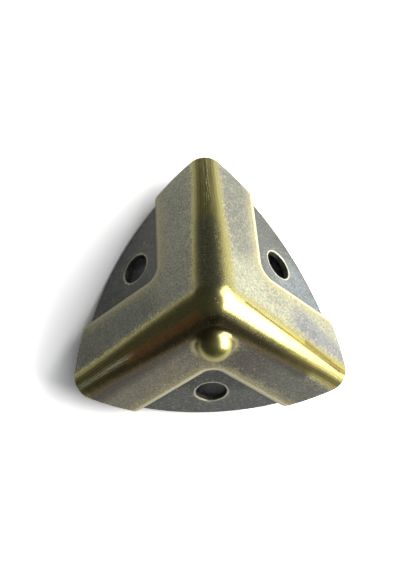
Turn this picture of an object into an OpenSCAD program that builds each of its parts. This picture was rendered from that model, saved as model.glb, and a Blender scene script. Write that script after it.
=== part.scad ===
// Corner bracket for a box, a trunk or a case: one sheet of steel, pressed over the three faces
// that meet at a corner and plated in antique brass.
//
// The form is worked out in box coordinates. The outer corner is the origin and the three legs
// run along +X, +Y and +Z, so each face of the bracket lies in one coordinate plane and the box
// is on the positive side. The finished pressing is then stood on its three legs, corner up.

/* [Pressing] */
// Length of each leg, and radius of the round edge of each face
leg = 32; // [30:0.5:44]
// Thickness of the sheet
sheet = 1.0; // [0.6:0.05:1.2]
// Outer radius of the rolled ridge between two faces
ridge_r = 3.2; // [2.4:0.1:4.2]
// Inner radius of the tight bends on each side of a step
bend_r = 0.3; // [0.2:0.05:0.5]

/* [Recessed panels] */
// Width of the raised border along each ridge
border = 11.3; // [10.5:0.1:12.5]
// How far a panel is stepped in below its border
recess = 1.0; // [0.6:0.05:1.3]
// Radius of the border's line at the inner corner of a panel
panel_corner_r = 3.2; // [2.6:0.1:4.5]

/* [Screw holes] */
// Diameter of the hole in each panel
hole_d = 5.2; // [3.5:0.1:6]
// Distance from a hole's centre to the round edge of its face
hole_edge = 6.5; // [5:0.1:7]
// Radius of the rolled mouth of a hole
hole_mouth_r = 0.3; // [0.1:0.05:0.4]

/* [Ball stud] */
// Outer diameter of the ball pressed out of the front face
ball_d = 6.0; // [5:0.1:6.6]
// Radius of the flare where the ball rises from the face
ball_flare_r = 0.9; // [0.5:0.05:1.2]
// Flat strip between a ridge's curve and the ball's flare
ball_margin = 0.3; // [0.1:0.05:0.8]

/* [Hidden] */

// Smoothness of the round forms
$fn = 96;

brass = "#8c8061";
// Overrun of a cutting form past what it cuts
over = 1;
// Length of the forms that run out past the legs before they are trimmed
reach = leg + 4 * over;
// Depth of a panel's inner side, which lies on the box, below the border's outer side
seat = recess + sheet;

// A step is an S of two arcs, tangent to each other and to the flats on each side
shoulder_r = bend_r + sheet;
step_run = sqrt(pow(shoulder_r + bend_r, 2) - pow(shoulder_r + bend_r - recess, 2));

// Distance from each ridge's outer face to the centre of a hole
hole_offset = (leg - hole_edge) / sqrt(2);

// Distance from the ball's axis to the outer edge of its flare
flare_run = sqrt(pow(ball_d / 2 + ball_flare_r, 2) - pow(ball_flare_r, 2));
ball_offset = ridge_r + ball_margin + flare_run;

// Angles that stand a box corner on its three legs
turn = 45;
lean = -(90 + atan(1 / sqrt(2)));

// Each face in turn is the XY face, carried over by a turn about the corner's diagonal
module for_each_face() {
    for (i = [0:2]) rotate(120 * i, [1, 1, 1]) children();
}

// Swaps the two legs of the XY face
module swap_legs() {
    mirror([1, -1, 0]) children();
}

// Runs a section out along X: its x becomes Y and its y becomes Z
module run_along_x(length) {
    rotate([90, 0, 90]) linear_extrude(length) children();
}

// Solid corner of a block, its skin drawn in by inset, with rolled edges and a ball corner
module rolled_corner(inset) {
    r = ridge_r - inset;
    size = reach + inset;
    run = size - r;
    translate([inset, inset, inset]) {
        translate([0, 0, r]) linear_extrude(run) rolled_quadrant(r, size);
        translate([r, r, 0]) cube([run, run, r]);
        translate([r, 0, 0]) run_along_x(run) rolled_foot(r);
        swap_legs() translate([r, 0, 0]) run_along_x(run) rolled_foot(r);
        translate([r, r, r]) ball(r);
    }
}

// Square whose corner at the origin is rounded
module rolled_quadrant(r, size) {
    difference() {
        square(size);
        difference() {
            square(r);
            translate([r, r]) circle(r);
        }
    }
}

// Quarter disc that fills the foot of a rolled edge
module rolled_foot(r) {
    intersection() {
        square(r);
        translate([r, r]) circle(r);
    }
}

// Ball whose facets line up with those of the rolled edges
module ball(r) {
    rotate_extrude() intersection() {
        circle(r);
        translate([0, -r]) square([r, 2 * r]);
    }
}

// Section of a recess: x runs in from the border's line, y is the height over the border
module recess_section(inset, width) {
    depth = recess + inset;
    shoulder_centre = [0, -shoulder_r];
    root_centre = [step_run, bend_r - recess];
    difference() {
        translate([0, -depth]) square([width, depth + over]);
        translate(shoulder_centre) circle(shoulder_r - inset);
        difference() {
            polygon([shoulder_centre, root_centre, [step_run, -depth - over], [0, -depth - over]]);
            translate(root_centre) circle(bend_r + inset);
        }
    }
}

// What is pressed away over the panel of the XY face: two straight runs and a round corner
module panel_recess(inset) {
    centre = border + panel_corner_r;
    length = reach + 2 * over - centre;
    width = reach + 2 * over - border;
    recess_run(inset, centre, length, width);
    swap_legs() recess_run(inset, centre, length, width);
    translate([centre, centre, 0]) mirror([0, 0, 1]) rotate([0, 0, 180])
        rotate_extrude(angle = 90) recess_corner_section(inset);
}

// Section of a recess, measured out from the axis of its round corner
module recess_corner_section(inset) {
    intersection() {
        translate([panel_corner_r, 0]) mirror([1, 0]) recess_section(inset, panel_corner_r + over);
        translate([0, -seat - over]) square([panel_corner_r, seat + 2 * over]);
    }
}

// Straight run of a recess along X
module recess_run(inset, start, length, width) {
    translate([start, border, 0]) run_along_x(length) mirror([0, 1]) recess_section(inset, width);
}

// Section of the ball stud, from its axis out to the end of the flare
module ball_section(inset) {
    foot = -inset - over / 2;
    flare_centre = [flare_run, ball_flare_r];
    intersection() {
        union() {
            circle(ball_d / 2 - inset);
            difference() {
                polygon([[0, 0], flare_centre, [flare_run, foot], [0, foot]]);
                translate(flare_centre) circle(ball_flare_r + inset);
            }
        }
        translate([0, foot]) square([flare_run, ball_d]);
    }
}

// Ball stud on the XY face, pointing out of the face
module ball_stud(inset) {
    translate([ball_offset, ball_offset, 0]) mirror([0, 0, 1]) rotate_extrude() ball_section(inset);
}

// The pressing as a solid, its skin drawn in by inset
module form(inset) {
    difference() {
        rolled_corner(inset);
        for_each_face() panel_recess(inset);
    }
    ball_stud(inset);
}

// Section of a screw hole and its rolled mouth: y is the depth below the panel's outer side
module hole_section() {
    r = hole_d / 2;
    mouth = r + hole_mouth_r;
    translate([0, -over]) square([r, sheet + 2 * over]);
    difference() {
        translate([0, -over]) square([mouth, over + hole_mouth_r]);
        translate([mouth, hole_mouth_r]) circle(hole_mouth_r);
    }
}

// Screw hole through the panel of the XY face
module screw_hole() {
    translate([hole_offset, hole_offset, recess]) rotate_extrude() hole_section();
}

// The shell between the outer and the inner skin, trimmed round and drilled
module pressing() {
    difference() {
        intersection() {
            difference() {
                form(0);
                form(sheet);
            }
            sphere(leg);
        }
        for_each_face() screw_hole();
    }
}

// The finished bracket, standing on its legs, with the box's own corner at the origin
module corner_bracket() {
    color(brass) rotate([lean, 0, 0]) rotate([0, 0, turn]) translate([-seat, -seat, -seat]) pressing();
}

corner_bracket();
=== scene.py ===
"""Visual model of a pressed box corner bracket in antique brass.

One sheet of steel is pressed over the three faces that meet at a box corner. It has three rolled
ridges and a ball corner, a stepped-in panel with a round hole on each face, and one ball stud.

The sheet is worked out in box coordinates: the outer corner is the origin, the three legs run along
the axes, and each face lies in one coordinate plane. Lengths are millimetres until a mesh is
written, where they become metres in the frame's own axes.
"""

import logging
import math
from collections.abc import Iterator
from dataclasses import dataclass, field
from enum import Enum

import bpy
import numpy as np
from mathutils import Matrix, Vector

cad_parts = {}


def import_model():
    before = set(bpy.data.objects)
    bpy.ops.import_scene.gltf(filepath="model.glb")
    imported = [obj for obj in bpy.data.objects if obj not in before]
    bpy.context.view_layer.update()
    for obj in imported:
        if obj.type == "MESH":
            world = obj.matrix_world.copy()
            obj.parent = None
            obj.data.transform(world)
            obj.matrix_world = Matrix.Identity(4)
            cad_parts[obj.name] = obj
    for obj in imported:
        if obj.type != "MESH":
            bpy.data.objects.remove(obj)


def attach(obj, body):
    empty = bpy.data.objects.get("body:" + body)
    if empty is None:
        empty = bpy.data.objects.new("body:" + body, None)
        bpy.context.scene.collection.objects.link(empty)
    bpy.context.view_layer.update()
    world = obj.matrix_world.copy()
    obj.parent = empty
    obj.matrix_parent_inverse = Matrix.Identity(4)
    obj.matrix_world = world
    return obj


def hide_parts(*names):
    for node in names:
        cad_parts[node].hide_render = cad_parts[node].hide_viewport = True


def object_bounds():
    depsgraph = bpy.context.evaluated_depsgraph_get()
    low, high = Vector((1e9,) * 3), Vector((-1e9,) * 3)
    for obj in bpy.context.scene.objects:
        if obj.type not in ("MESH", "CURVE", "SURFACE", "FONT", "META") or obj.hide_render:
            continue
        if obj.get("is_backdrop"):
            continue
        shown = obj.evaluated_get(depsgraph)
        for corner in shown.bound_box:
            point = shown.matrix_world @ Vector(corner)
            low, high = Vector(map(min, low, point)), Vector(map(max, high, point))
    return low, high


log = logging.getLogger("corner_bracket")

Array = np.ndarray
Share = np.ndarray | float
Colour = tuple[float, float, float]
Place = tuple[float, float, float]
Socket = bpy.types.NodeSocket
Feed = Socket | float | Colour
Shaded = bpy.types.Material | bpy.types.World

# One millimetre in metres, and the cell in millimetres within which points are welded
MM = 0.001
WELD_STEP = 2e-4
# Direction out of a face in its own coordinates, whose third runs down into the box
DOWN = np.array([0.0, 0.0, -1.0])
RIGHT_ANGLE = math.pi / 2
MITRE = math.pi / 4


class Skin(Enum):
    """Which side of the sheet a surface lies on."""

    OUTER = "outer"
    INNER = "inner"


class Half(Enum):
    """Which leg of a face a half-face patch runs along."""

    FIRST_LEG = "first leg"
    SECOND_LEG = "second leg"


class Mark(Enum):
    """What a point of the surface is like, in numbers that materials read by name."""

    POLISH = "polish"
    WEAR = "wear"
    # Painted shade together with real dirt: darkens roots, hollows, the flare's foot and the inner
    # skin
    SHADE_AND_GRIME = "grime"
    SUNK = "sunk"
    TIP = "tip"
    CREST = "crest"
    TURN = "turn"


class Finish(Enum):
    """The record's material slots."""

    ANTIQUE_BRASS = "antique_brass"


@dataclass(frozen=True)
class PressingSizes:
    """Driving sizes of the pressing, in millimetres."""

    leg: float = 32.0
    sheet: float = 1.0
    # Outer radius of the roll at the legs' ends and at the corner, and the two distances from the
    # corner between which it changes
    ridge_r: float = 3.21
    corner_r: float = 4.5
    swell_start: float = 6.0
    swell_end: float = 30.0
    # Tight bends of the step, width of the border, depth of a panel and its round corner
    bend_r: float = 0.45
    border: float = 11.3
    recess: float = 1.0
    panel_corner_r: float = 3.2
    # Hole, from its centre to the round edge of its face, and its rolled mouth and back edge
    hole_d: float = 5.2
    hole_edge: float = 6.5
    hole_mouth_r: float = 0.2
    hole_back_r: float = 0.08
    # Ball stud, its flare and the flat strip between the flare and a ridge
    ball_d: float = 6.0
    ball_flare_r: float = 1.0
    ball_margin: float = 0.3
    # Round of the cut edge on both sides
    cut_edge_r: float = 0.22

    @property
    def seat(self) -> float:
        """Depth of a panel's inner side below the border's outer side."""
        return self.recess + self.sheet

    @property
    def shoulder_r(self) -> float:
        """Outer radius of the bend where the border turns down."""
        return self.bend_r + self.sheet

    @property
    def step_angle(self) -> float:
        """Steepest slope of the step, where its two arcs meet."""
        return math.acos(1 - self.recess / (self.shoulder_r + self.bend_r))

    @property
    def step_run(self) -> float:
        """Width of the step, from the border's line to the panel's flat."""
        return (self.shoulder_r + self.bend_r) * math.sin(self.step_angle)

    @property
    def corner_centre(self) -> float:
        """Both coordinates of the axis of a panel's round corner."""
        return self.border + self.panel_corner_r

    @property
    def hole_offset(self) -> float:
        """Both coordinates of a hole's centre."""
        return (self.leg - self.hole_edge) / math.sqrt(2)

    @property
    def flare_run(self) -> float:
        """Distance from the ball's axis to the outer edge of its flare."""
        return math.sqrt((self.ball_d / 2 + self.ball_flare_r) ** 2 - self.ball_flare_r**2)

    @property
    def ball_offset(self) -> float:
        """Both coordinates of the ball's centre on its face."""
        return self.ridge_r + self.ball_margin + self.flare_run

    @property
    def trim_r(self) -> float:
        """Distance from the outer corner at which the sheet's flat ends and its edge rounds."""
        return self.leg - self.cut_edge_r


@dataclass(frozen=True)
class GridCounts:
    """How many steps each part of the grid takes."""

    ridge: int = 12
    corner: int = 16
    run: int = 22
    border: int = 14
    arc: int = 10
    outline: int = 20
    panel: int = 14
    mouth: int = 7
    flare: int = 8
    dome: int = 16
    edge: int = 4


@dataclass
class Patch:
    """A grid of points with what the surface is like at each of them.

    Attributes:
        points: Places, one row and column per grid point.
        normals: Unit vectors that point out of the metal.
        marks: For each mark, one number per grid point. Polish is 1 where the brass is rubbed
            bright, wear is 1 where an edge is worn pale and where the flare has a painted
            highlight, the mark of dirt and shade is 1 where dirt and wax gather and where painted
            shade darkens roots, hollows and the back of the sheet, sunk is 1 below the border, tip
            is 1 at the far end of a ridge, and crest is 1 along a ridge's top line. Turn is the way
            round a ridge from its foot, in millimetres.
    """

    points: Array
    normals: Array
    marks: dict[Mark, Array]

    def moved(self, carry: Array) -> "Patch":
        """Returns the patch with its places and normals carried by a 3 by 3 matrix."""
        return Patch(self.points @ carry.T, self.normals @ carry.T, self.marks)


def marked(rows: tuple[int, ...], **shares: Share) -> dict[Mark, Array]:
    """Spreads shares over a grid.

    Args:
        rows: Numbers of rows and columns of the grid.
        shares: Mark names and their shares, of a shape that spreads over the grid; 0 if not given.

    Returns:
        One share per grid point for every mark.
    """
    return {mark: np.broadcast_to(shares.get(mark.value, 0.0), rows) for mark in Mark}


SWAP_LEGS = np.array([[0.0, 1.0, 0.0], [1.0, 0.0, 0.0], [0.0, 0.0, 1.0]])
NEXT_FACE = np.array([[0.0, 0.0, 1.0], [1.0, 0.0, 0.0], [0.0, 1.0, 0.0]])


def to_frame_axes() -> Array:
    """Works out the turn from box coordinates to the frame.

    The frame's up is the corner's diagonal, outwards; its Y lies over the third leg, and its X
    lies over the first leg and away from the second.

    Returns:
        The 3 by 3 matrix of that turn, whose rows are the frame's axes in box coordinates.
    """
    return unit(np.array([[1.0, -1.0, 0.0], [-1.0, -1.0, 2.0], [-1.0, -1.0, -1.0]]))


def in_metres(lengths: Place | Vector) -> tuple[float, ...]:
    """Returns lengths in millimetres as metres."""
    return tuple(length * MM for length in lengths)


def unit(vectors: Array) -> Array:
    """Returns the vectors at length 1."""
    return vectors / np.linalg.norm(vectors, axis=-1, keepdims=True)


def even(steps: int) -> Array:
    """Returns shares from 0 to 1 in even steps."""
    return np.linspace(0.0, 1.0, steps + 1)


def eased(steps: int) -> Array:
    """Returns shares from 0 to 1 that lie closer together at both ends, by half a cosine wave."""
    return (1 - np.cos(math.pi * even(steps))) / 2


def ruled(first: Array, last: Array, shares: Array) -> Array:
    """Spans two curves that have as many points as each other.

    Each point lies on the straight line between the two curves' points of its column, at its
    row's share of the way.

    Args:
        first: Curve at share 0, one row per point.
        last: Curve at share 1.
        shares: One share per row of the grid.

    Returns:
        The grid of points.
    """
    return first + shares[:, None, None] * (last - first)


def fade(distance: Array, width: float) -> Array:
    """Returns 1 at no distance, falling off over about width by an exponential."""
    return np.exp(-np.maximum(distance, 0.0) / width)


def smooth(share: Array) -> Array:
    """Returns the smooth step 3 t^2 - 2 t^3 of shares between 0 and 1."""
    return share**2 * (3 - 2 * share)


def gridded(*parts: Share) -> Array:
    """Returns places or directions whose parts spread over one grid."""
    return np.stack(np.broadcast_arrays(*parts), axis=-1)


def per_row(*parts: Array) -> Array:
    """Returns one number per row of a grid, from parts that follow each other."""
    return np.concatenate(parts)[:, None]


def at_depth(flat: Array, depth: Share) -> Array:
    """Adds the depth to flat places, or a third part to flat directions.

    Args:
        flat: Pairs of numbers, over a curve or a grid.
        depth: One number for all, for each point of the curve or for each row of the grid.

    Returns:
        The same with three numbers each.
    """
    depth = np.reshape(depth, (-1, *[1] * (flat.ndim - 1)))
    return np.concatenate([flat, np.broadcast_to(depth, (*flat.shape[:-1], 1))], axis=-1)


@dataclass
class CornerPressing:
    """The pressed sheet: its two skins, its cut edge and its holes.

    Patches are worked out for the half of a face that lies along its first leg, with p along that
    leg, q across it and d down into the box. The other half swaps p and q, and the other faces
    turn the three coordinates round.
    """

    sizes: PressingSizes = field(default_factory=PressingSizes)
    counts: GridCounts = field(default_factory=GridCounts)
    # Rounds in which a point settles on the swelling roll
    settling_steps: int = 8
    # Polish of a ridge: whole up to this share of the way from its top line, this much at its
    # foot, and fading over the flat
    ridge_whole: float = 0.6
    ridge_foot: float = 0.46
    ridge_fade: float = 0.6
    # Distances along a leg between which its tip starts, and width of a ridge's top line
    tip_start: float = 13.0
    tip_end: float = 27.0
    crest_width: float = 0.45
    # Wear of the shoulder: a broad blush and a fine line, and how far each fades over the border
    shoulder_blush: float = 0.5
    shoulder_fade: float = 1.4
    shoulder_line: float = 0.45
    line_fade: float = 0.12
    # Wear, and painted shade with dirt, halfway down the step, how fast the wear ends below, and
    # how the painted shade with dirt fades out over the panel
    slope_wear: float = 0.5
    slope_wear_loss: float = 1.5
    slope_shade_and_grime: float = 0.2
    root_fade: float = 0.35
    # Wear of a hole's mouth and of the cut edge, polish at the flare, and the painted highlight
    # along the ball's flare
    hole_fade: float = 0.1
    mouth_wear: float = 0.9
    flare_foot: float = 0.5
    flare_fade: float = 0.4
    flare_painted_highlight: float = 0.8
    cut_wear: float = 0.8

    def patches(self) -> Iterator[Patch]:
        """Yields every patch of the pressing in box coordinates."""
        for face in range(3):
            carry = np.linalg.matrix_power(NEXT_FACE, face)
            for skin in Skin:
                yield self.ball_corner(skin).moved(carry)
            for half in Half:
                swap = carry if half is Half.FIRST_LEG else carry @ SWAP_LEGS
                for patch in self.half_face(with_stud=face == 0):
                    yield patch.moved(swap)

    def half_face(self, with_stud: bool) -> Iterator[Patch]:
        """Yields the patches of one half of a face.

        Args:
            with_stud: Whether this face has the ball stud.
        """
        outlines = {}
        for skin in Skin:
            ridge = self.ridge_strip(skin)
            run = self.border_run(skin)
            step = self.step_strip(skin)
            panel = self.panel_flat(skin)
            yield from (ridge, run, step, panel)
            if with_stud:
                yield self.stud_surround(skin)
                yield self.ball_stud(skin)
            else:
                yield self.border_corner(skin)
            arc = slice(self.counts.corner + self.counts.run, None)
            outlines[skin] = [
                (ridge.points[:, -1], ridge.normals[:, -1]),
                (run.points[:, -1], run.normals[:, -1]),
                (step.points[:, -1], step.normals[:, -1]),
                (panel.points[-1, arc], panel.normals[-1, arc]),
            ]
        for outer, inner in zip(outlines[Skin.OUTER], outlines[Skin.INNER]):
            yield self.cut_edge(*outer, *inner)
        yield self.hole_wall()

    def inset(self, skin: Skin) -> float:
        """Returns how far a skin lies below the outer one."""
        return 0.0 if skin is Skin.OUTER else self.sizes.sheet

    def patch(self, skin: Skin, points: Array, normals: Array, **shares: Share) -> Patch:
        """Puts a patch together and turns the inner skin's normals round.

        Args:
            skin: Side of the sheet.
            points: Grid of places.
            normals: Normals as on the outer skin, of a shape that spreads over the grid.
            shares: Mark names and their shares on the outer skin.

        Returns:
            The patch, with the back of the sheet left dull and darkened all over by painted shade.
        """
        rows = points.shape[:2]
        normals = np.broadcast_to(normals, points.shape)
        if skin is Skin.INNER:
            return Patch(points, -normals, marked(rows, grime=1.0, sunk=1.0))
        return Patch(points, normals, marked(rows, **shares))

    def roll_r(self, places: Array) -> tuple[Array, Array]:
        """Works out the outer radius to which the edges are rolled.

        The radius falls from the corner's to the ridges' own by a smooth step, 3 t^2 - 2 t^3, of
        the distance from the outer corner.

        Args:
            places: Places in box coordinates.

        Returns:
            The radius at each place, and its change per millimetre of that distance.
        """
        sizes = self.sizes
        span = sizes.swell_end - sizes.swell_start
        t = np.clip((sizes.swell_end - np.linalg.norm(places, axis=-1)) / span, 0.0, 1.0)
        more = sizes.corner_r - sizes.ridge_r
        return sizes.ridge_r + more * smooth(t), -more * 6 * t * (1 - t) / span

    def rolled(self, skin: Skin, points: Array, normals: Array) -> tuple[Array, Array]:
        """Moves a surface with evenly rolled edges in onto the one whose roll swells to the corner.

        With c the roll's radius at a place, u is how far the place lies short of c along each of
        the three axes, or 0 where it lies beyond. The surface is where u is as long as c less the
        skin's depth. Each point moves along its own normal until it lies there, and its new normal
        is the slope of that rule.

        Args:
            skin: Side of the sheet.
            points: Places on a surface whose edges are all rolled to the ridges' radius.
            normals: Normals there, as on the outer skin.

        Returns:
            The new places and normals.
        """
        normals = np.broadcast_to(normals, points.shape)
        depth = self.inset(skin)
        moved = points
        for _ in range(self.settling_steps):
            radius, _ = self.roll_r(moved)
            short = np.maximum(radius[..., None] - moved, 0.0)
            gap = np.linalg.norm(short, axis=-1) - (radius - depth)
            moved = moved - gap[..., None] * normals
        radius, change = self.roll_r(moved)
        short = unit(np.maximum(radius[..., None] - moved, 0.0))
        growth = (short.sum(axis=-1) - 1) * change
        return moved, unit(growth[..., None] * unit(moved) - short)

    def rubbed(self, points: Array, normals: Array) -> dict[str, Array]:
        """Works out how the rolled edges are rubbed.

        A ridge is whole bright where it leans far from both faces and less so towards its foot,
        and the rest falls off over the flat by an exponential of the distance from the foot. The
        crest falls off by a bell curve of the way round the ridge from its top line.

        Args:
            points: Places on the border, a ridge or the corner.
            normals: Normals there.

        Returns:
            The polish, the tip, the crest and the turn at each place.
        """
        lean = np.arccos(np.clip(np.abs(normals).max(axis=-1), 0.0, 1.0))
        radius, _ = self.roll_r(points)
        across, along = np.moveaxis(np.sort(points, axis=-1)[..., 1:], -1, 0)
        polish = self.ridge_polish(np.clip(1 - lean / MITRE, 0.0, 1.0))
        polish = polish * fade(across - radius, self.ridge_fade)
        out = np.clip((along - self.tip_start) / (self.tip_end - self.tip_start), 0.0, 1.0)
        from_top = np.maximum(MITRE - lean, 0.0) * radius
        crest = np.exp(-np.square(from_top / self.crest_width))
        return {"polish": polish, "tip": smooth(out), "crest": crest, "turn": lean * radius}

    def along_leg(self, ends: Array) -> Array:
        """Places the columns along a leg.

        Args:
            ends: Where each row ends at the outline.

        Returns:
            For each row, even steps from the ridge's start to the panel corner's axis, then even
            steps on to the row's end.
        """
        sizes, counts = self.sizes, self.counts
        shared = sizes.ridge_r + even(counts.corner) * (sizes.corner_centre - sizes.ridge_r)
        shared = np.broadcast_to(shared, (len(ends), counts.corner + 1))
        run = sizes.corner_centre + even(counts.run)[1:] * (ends[:, None] - sizes.corner_centre)
        return np.concatenate([shared, run], axis=1)

    def row_ends(self, across: Array, depth: Share) -> Array:
        """Returns how far along the leg the trimming ball lets each row run."""
        return np.sqrt(self.sizes.trim_r**2 - across**2 - np.square(depth))

    def ball_corner(self, skin: Skin) -> Patch:
        """Makes one face's third of the ball corner.

        A point's direction from the ball's centre is minus (tan a, tan b, 1) at length 1, where
        the two angles run from the mitre between two faces to the face itself. The point then
        moves in onto the swollen roll.

        Args:
            skin: Side of the sheet.

        Returns:
            The patch.
        """
        r = self.sizes.ridge_r - self.inset(skin)
        slant = np.tan(MITRE * even(self.counts.ridge)[::-1])
        normals = -unit(gridded(slant, slant[:, None], 1.0))
        points, normals = self.rolled(skin, self.sizes.ridge_r + r * normals, normals)
        return self.patch(skin, points, normals, **self.rubbed(points, normals))

    def ridge_polish(self, share: Array) -> Array:
        """Returns the rubbed share at a share of the way from the mitre to the flat."""
        near = np.clip((share - self.ridge_whole) / (1 - self.ridge_whole), 0.0, 1.0)
        return 1 - (1 - self.ridge_foot) * smooth(near)

    def ridge_strip(self, skin: Skin) -> Patch:
        """Makes half of the rolled ridge, an eighth of a cylinder along the leg.

        Across the ridge a point stands at (r - r' sin b, r - r' cos b) from the two outer faces,
        where r' is the skin's own radius and b runs from the mitre to the flat. The point then
        moves in onto the swollen roll.

        Args:
            skin: Side of the sheet.

        Returns:
            The patch.
        """
        sizes = self.sizes
        r = sizes.ridge_r - self.inset(skin)
        turn = MITRE * even(self.counts.ridge)[::-1]
        q = sizes.ridge_r - r * np.sin(turn)
        d = sizes.ridge_r - r * np.cos(turn)
        p = self.along_leg(self.row_ends(q, d))
        normals = gridded(0.0, -np.sin(turn), -np.cos(turn))[:, None]
        points, normals = self.rolled(skin, gridded(p, q[:, None], d[:, None]), normals)
        return self.patch(skin, points, normals, **self.rubbed(points, normals))

    def border_flat(self, skin: Skin, flat: Array, flared: Share = 0.0) -> Patch:
        """Finishes a part of the border: rolls its ridge side in, rubs it and wears its shoulder.

        The wear falls off by an exponential of the distance from the border's line, which is
        taken round the panel's corner.

        Args:
            skin: Side of the sheet.
            flat: Places on the border as a flat.
            flared: How near each place is to the ball's flare, where it is rubbed, and darkened by
                painted shade with dirt.

        Returns:
            The patch.
        """
        sizes = self.sizes
        points, normals = self.rolled(skin, flat, DOWN)
        reach = np.maximum(sizes.corner_centre - flat[..., :2], 0.0)
        from_shoulder = np.linalg.norm(reach, axis=-1) - sizes.panel_corner_r
        wear = self.shoulder_blush * fade(from_shoulder, self.shoulder_fade)
        wear = wear + self.shoulder_line * fade(from_shoulder, self.line_fade)
        rubbed = self.rubbed(points, normals)
        rubbed["polish"] = np.maximum(rubbed["polish"], flared)
        return self.patch(skin, points, normals, wear=wear, grime=flared, **rubbed)

    def border_rows(self) -> Array:
        """Returns how far across the face each row of the border lies."""
        sizes = self.sizes
        return sizes.ridge_r + eased(self.counts.border) * (sizes.border - sizes.ridge_r)

    def border_run(self, skin: Skin) -> Patch:
        """Makes the flat of the border beside the straight part of the panel.

        Args:
            skin: Side of the sheet.

        Returns:
            The patch, whose rows run along the leg at even shares across the border.
        """
        depth = self.inset(skin)
        q = self.border_rows()
        p = self.along_leg(self.row_ends(q, depth))[:, self.counts.corner :]
        return self.border_flat(skin, gridded(p, q[:, None], depth))

    def border_corner(self, skin: Skin) -> Patch:
        """Makes the flat of the border from the ball corner to the panel's round corner.

        Args:
            skin: Side of the sheet.

        Returns:
            The patch, ruled from the ridge's line to the border's line.
        """
        shares = eased(self.counts.border)
        border_line = self.step_rows(skin)[0][0, : self.counts.corner + 1]
        return self.border_flat(skin, ruled(self.ridge_line(skin), border_line, shares))

    def ridge_line(self, skin: Skin) -> Array:
        """Returns the line where the ridge's curve meets the flat, beside the panel's corner."""
        p = self.along_leg(np.array([self.sizes.leg]))[0, : self.counts.corner + 1]
        return gridded(p, self.sizes.ridge_r, self.inset(skin))

    def step_section(self, skin: Skin) -> tuple[Array, Array, Array]:
        """Works out the section of the step.

        The border turns down over an arc of the shoulder's radius and out again over an arc of
        the root's radius. Both take their centres from the sheet's own radii, so that the two
        skins stay one thickness apart.

        Args:
            skin: Side of the sheet.

        Returns:
            For each row, the distance in from the border's line, the depth and the slope.
        """
        sizes, counts = self.sizes, self.counts
        shoulder = sizes.shoulder_r - self.inset(skin)
        root = sizes.bend_r + self.inset(skin)
        down = sizes.step_angle * even(counts.arc)
        out = down[::-1][1:]
        across = np.concatenate([shoulder * np.sin(down), sizes.step_run - root * np.sin(out)])
        upper = sizes.shoulder_r - shoulder * np.cos(down)
        lower = sizes.recess - sizes.bend_r + root * np.cos(out)
        return across, np.concatenate([upper, lower]), np.concatenate([down, out])

    def step_rows(self, skin: Skin) -> tuple[Array, Array]:
        """Carries the step's section along the panel's edge.

        The path is an eighth of a turn round the panel corner's axis and then a straight run
        beside the leg. A point lies its section's distance in from the path.

        Args:
            skin: Side of the sheet.

        Returns:
            The grid of places and the grid of normals, one row for each point of the section.
        """
        sizes, counts = self.sizes, self.counts
        across, depth, slope = self.step_section(skin)
        turn = MITRE * even(counts.corner)[::-1]
        inward = np.stack([np.sin(turn), np.cos(turn)], axis=-1)
        radius = sizes.panel_corner_r - across
        bend = sizes.corner_centre - radius[:, None, None] * inward
        q = sizes.border + across
        p = self.along_leg(self.row_ends(q, depth))[:, counts.corner + 1 :]
        flat = np.concatenate([bend, gridded(p, q[:, None])], axis=1)
        heading = np.concatenate([inward, np.tile([0.0, 1.0], (counts.run, 1))])
        lean = heading * np.sin(slope)[:, None, None]
        return at_depth(flat, depth), at_depth(lean, -np.cos(slope))

    def step_strip(self, skin: Skin) -> Patch:
        """Makes the step between the border and the panel.

        Down the shoulder the wear first grows from the border's, no higher than 1, and loses the
        square of the way down. Past the middle it falls and the painted shade with dirt grows,
        both evenly.

        Args:
            skin: Side of the sheet.

        Returns:
            The patch, worn pale over the shoulder, with painted shade and dirt at the root.
        """
        points, normals = self.step_rows(skin)
        down = even(self.counts.arc)
        out = 1 - down[::-1][1:]
        worn = np.minimum(self.shoulder_blush + self.shoulder_line + down, 1.0)
        worn = worn - (1 - self.slope_wear) * down**2
        wear = per_row(worn, self.slope_wear - self.slope_wear_loss * out)
        grime = per_row(self.slope_shade_and_grime * down, self.slope_shade_and_grime + (1 - self.slope_shade_and_grime) * out)
        sunk = per_row(np.zeros_like(down), 1 - out)
        return self.patch(skin, points, normals, wear=np.maximum(wear, 0.0), grime=grime, sunk=sunk)

    def panel_outline(self, skin: Skin) -> Array:
        """Follows the panel's edge: along the root of the step, then round the outline.

        The last stretch is an arc about the outer corner, from the step's end to the middle of
        the face.

        Args:
            skin: Side of the sheet.

        Returns:
            The edge's points, in order.
        """
        sizes, counts = self.sizes, self.counts
        root = self.step_rows(skin)[0][-1]
        depth = sizes.recess + self.inset(skin)
        start = math.atan2(root[-1, 1], root[-1, 0])
        angle = start + even(counts.outline)[1:] * (MITRE - start)
        radius = math.sqrt(sizes.trim_r**2 - depth**2)
        arc = gridded(radius * np.cos(angle), radius * np.sin(angle), depth)
        return np.concatenate([root, arc])

    def hole_directions(self) -> Array:
        """Returns the directions from the hole's centre to the points of the panel's edge."""
        return unit(self.panel_outline(Skin.OUTER)[:, :2] - self.sizes.hole_offset)

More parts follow.
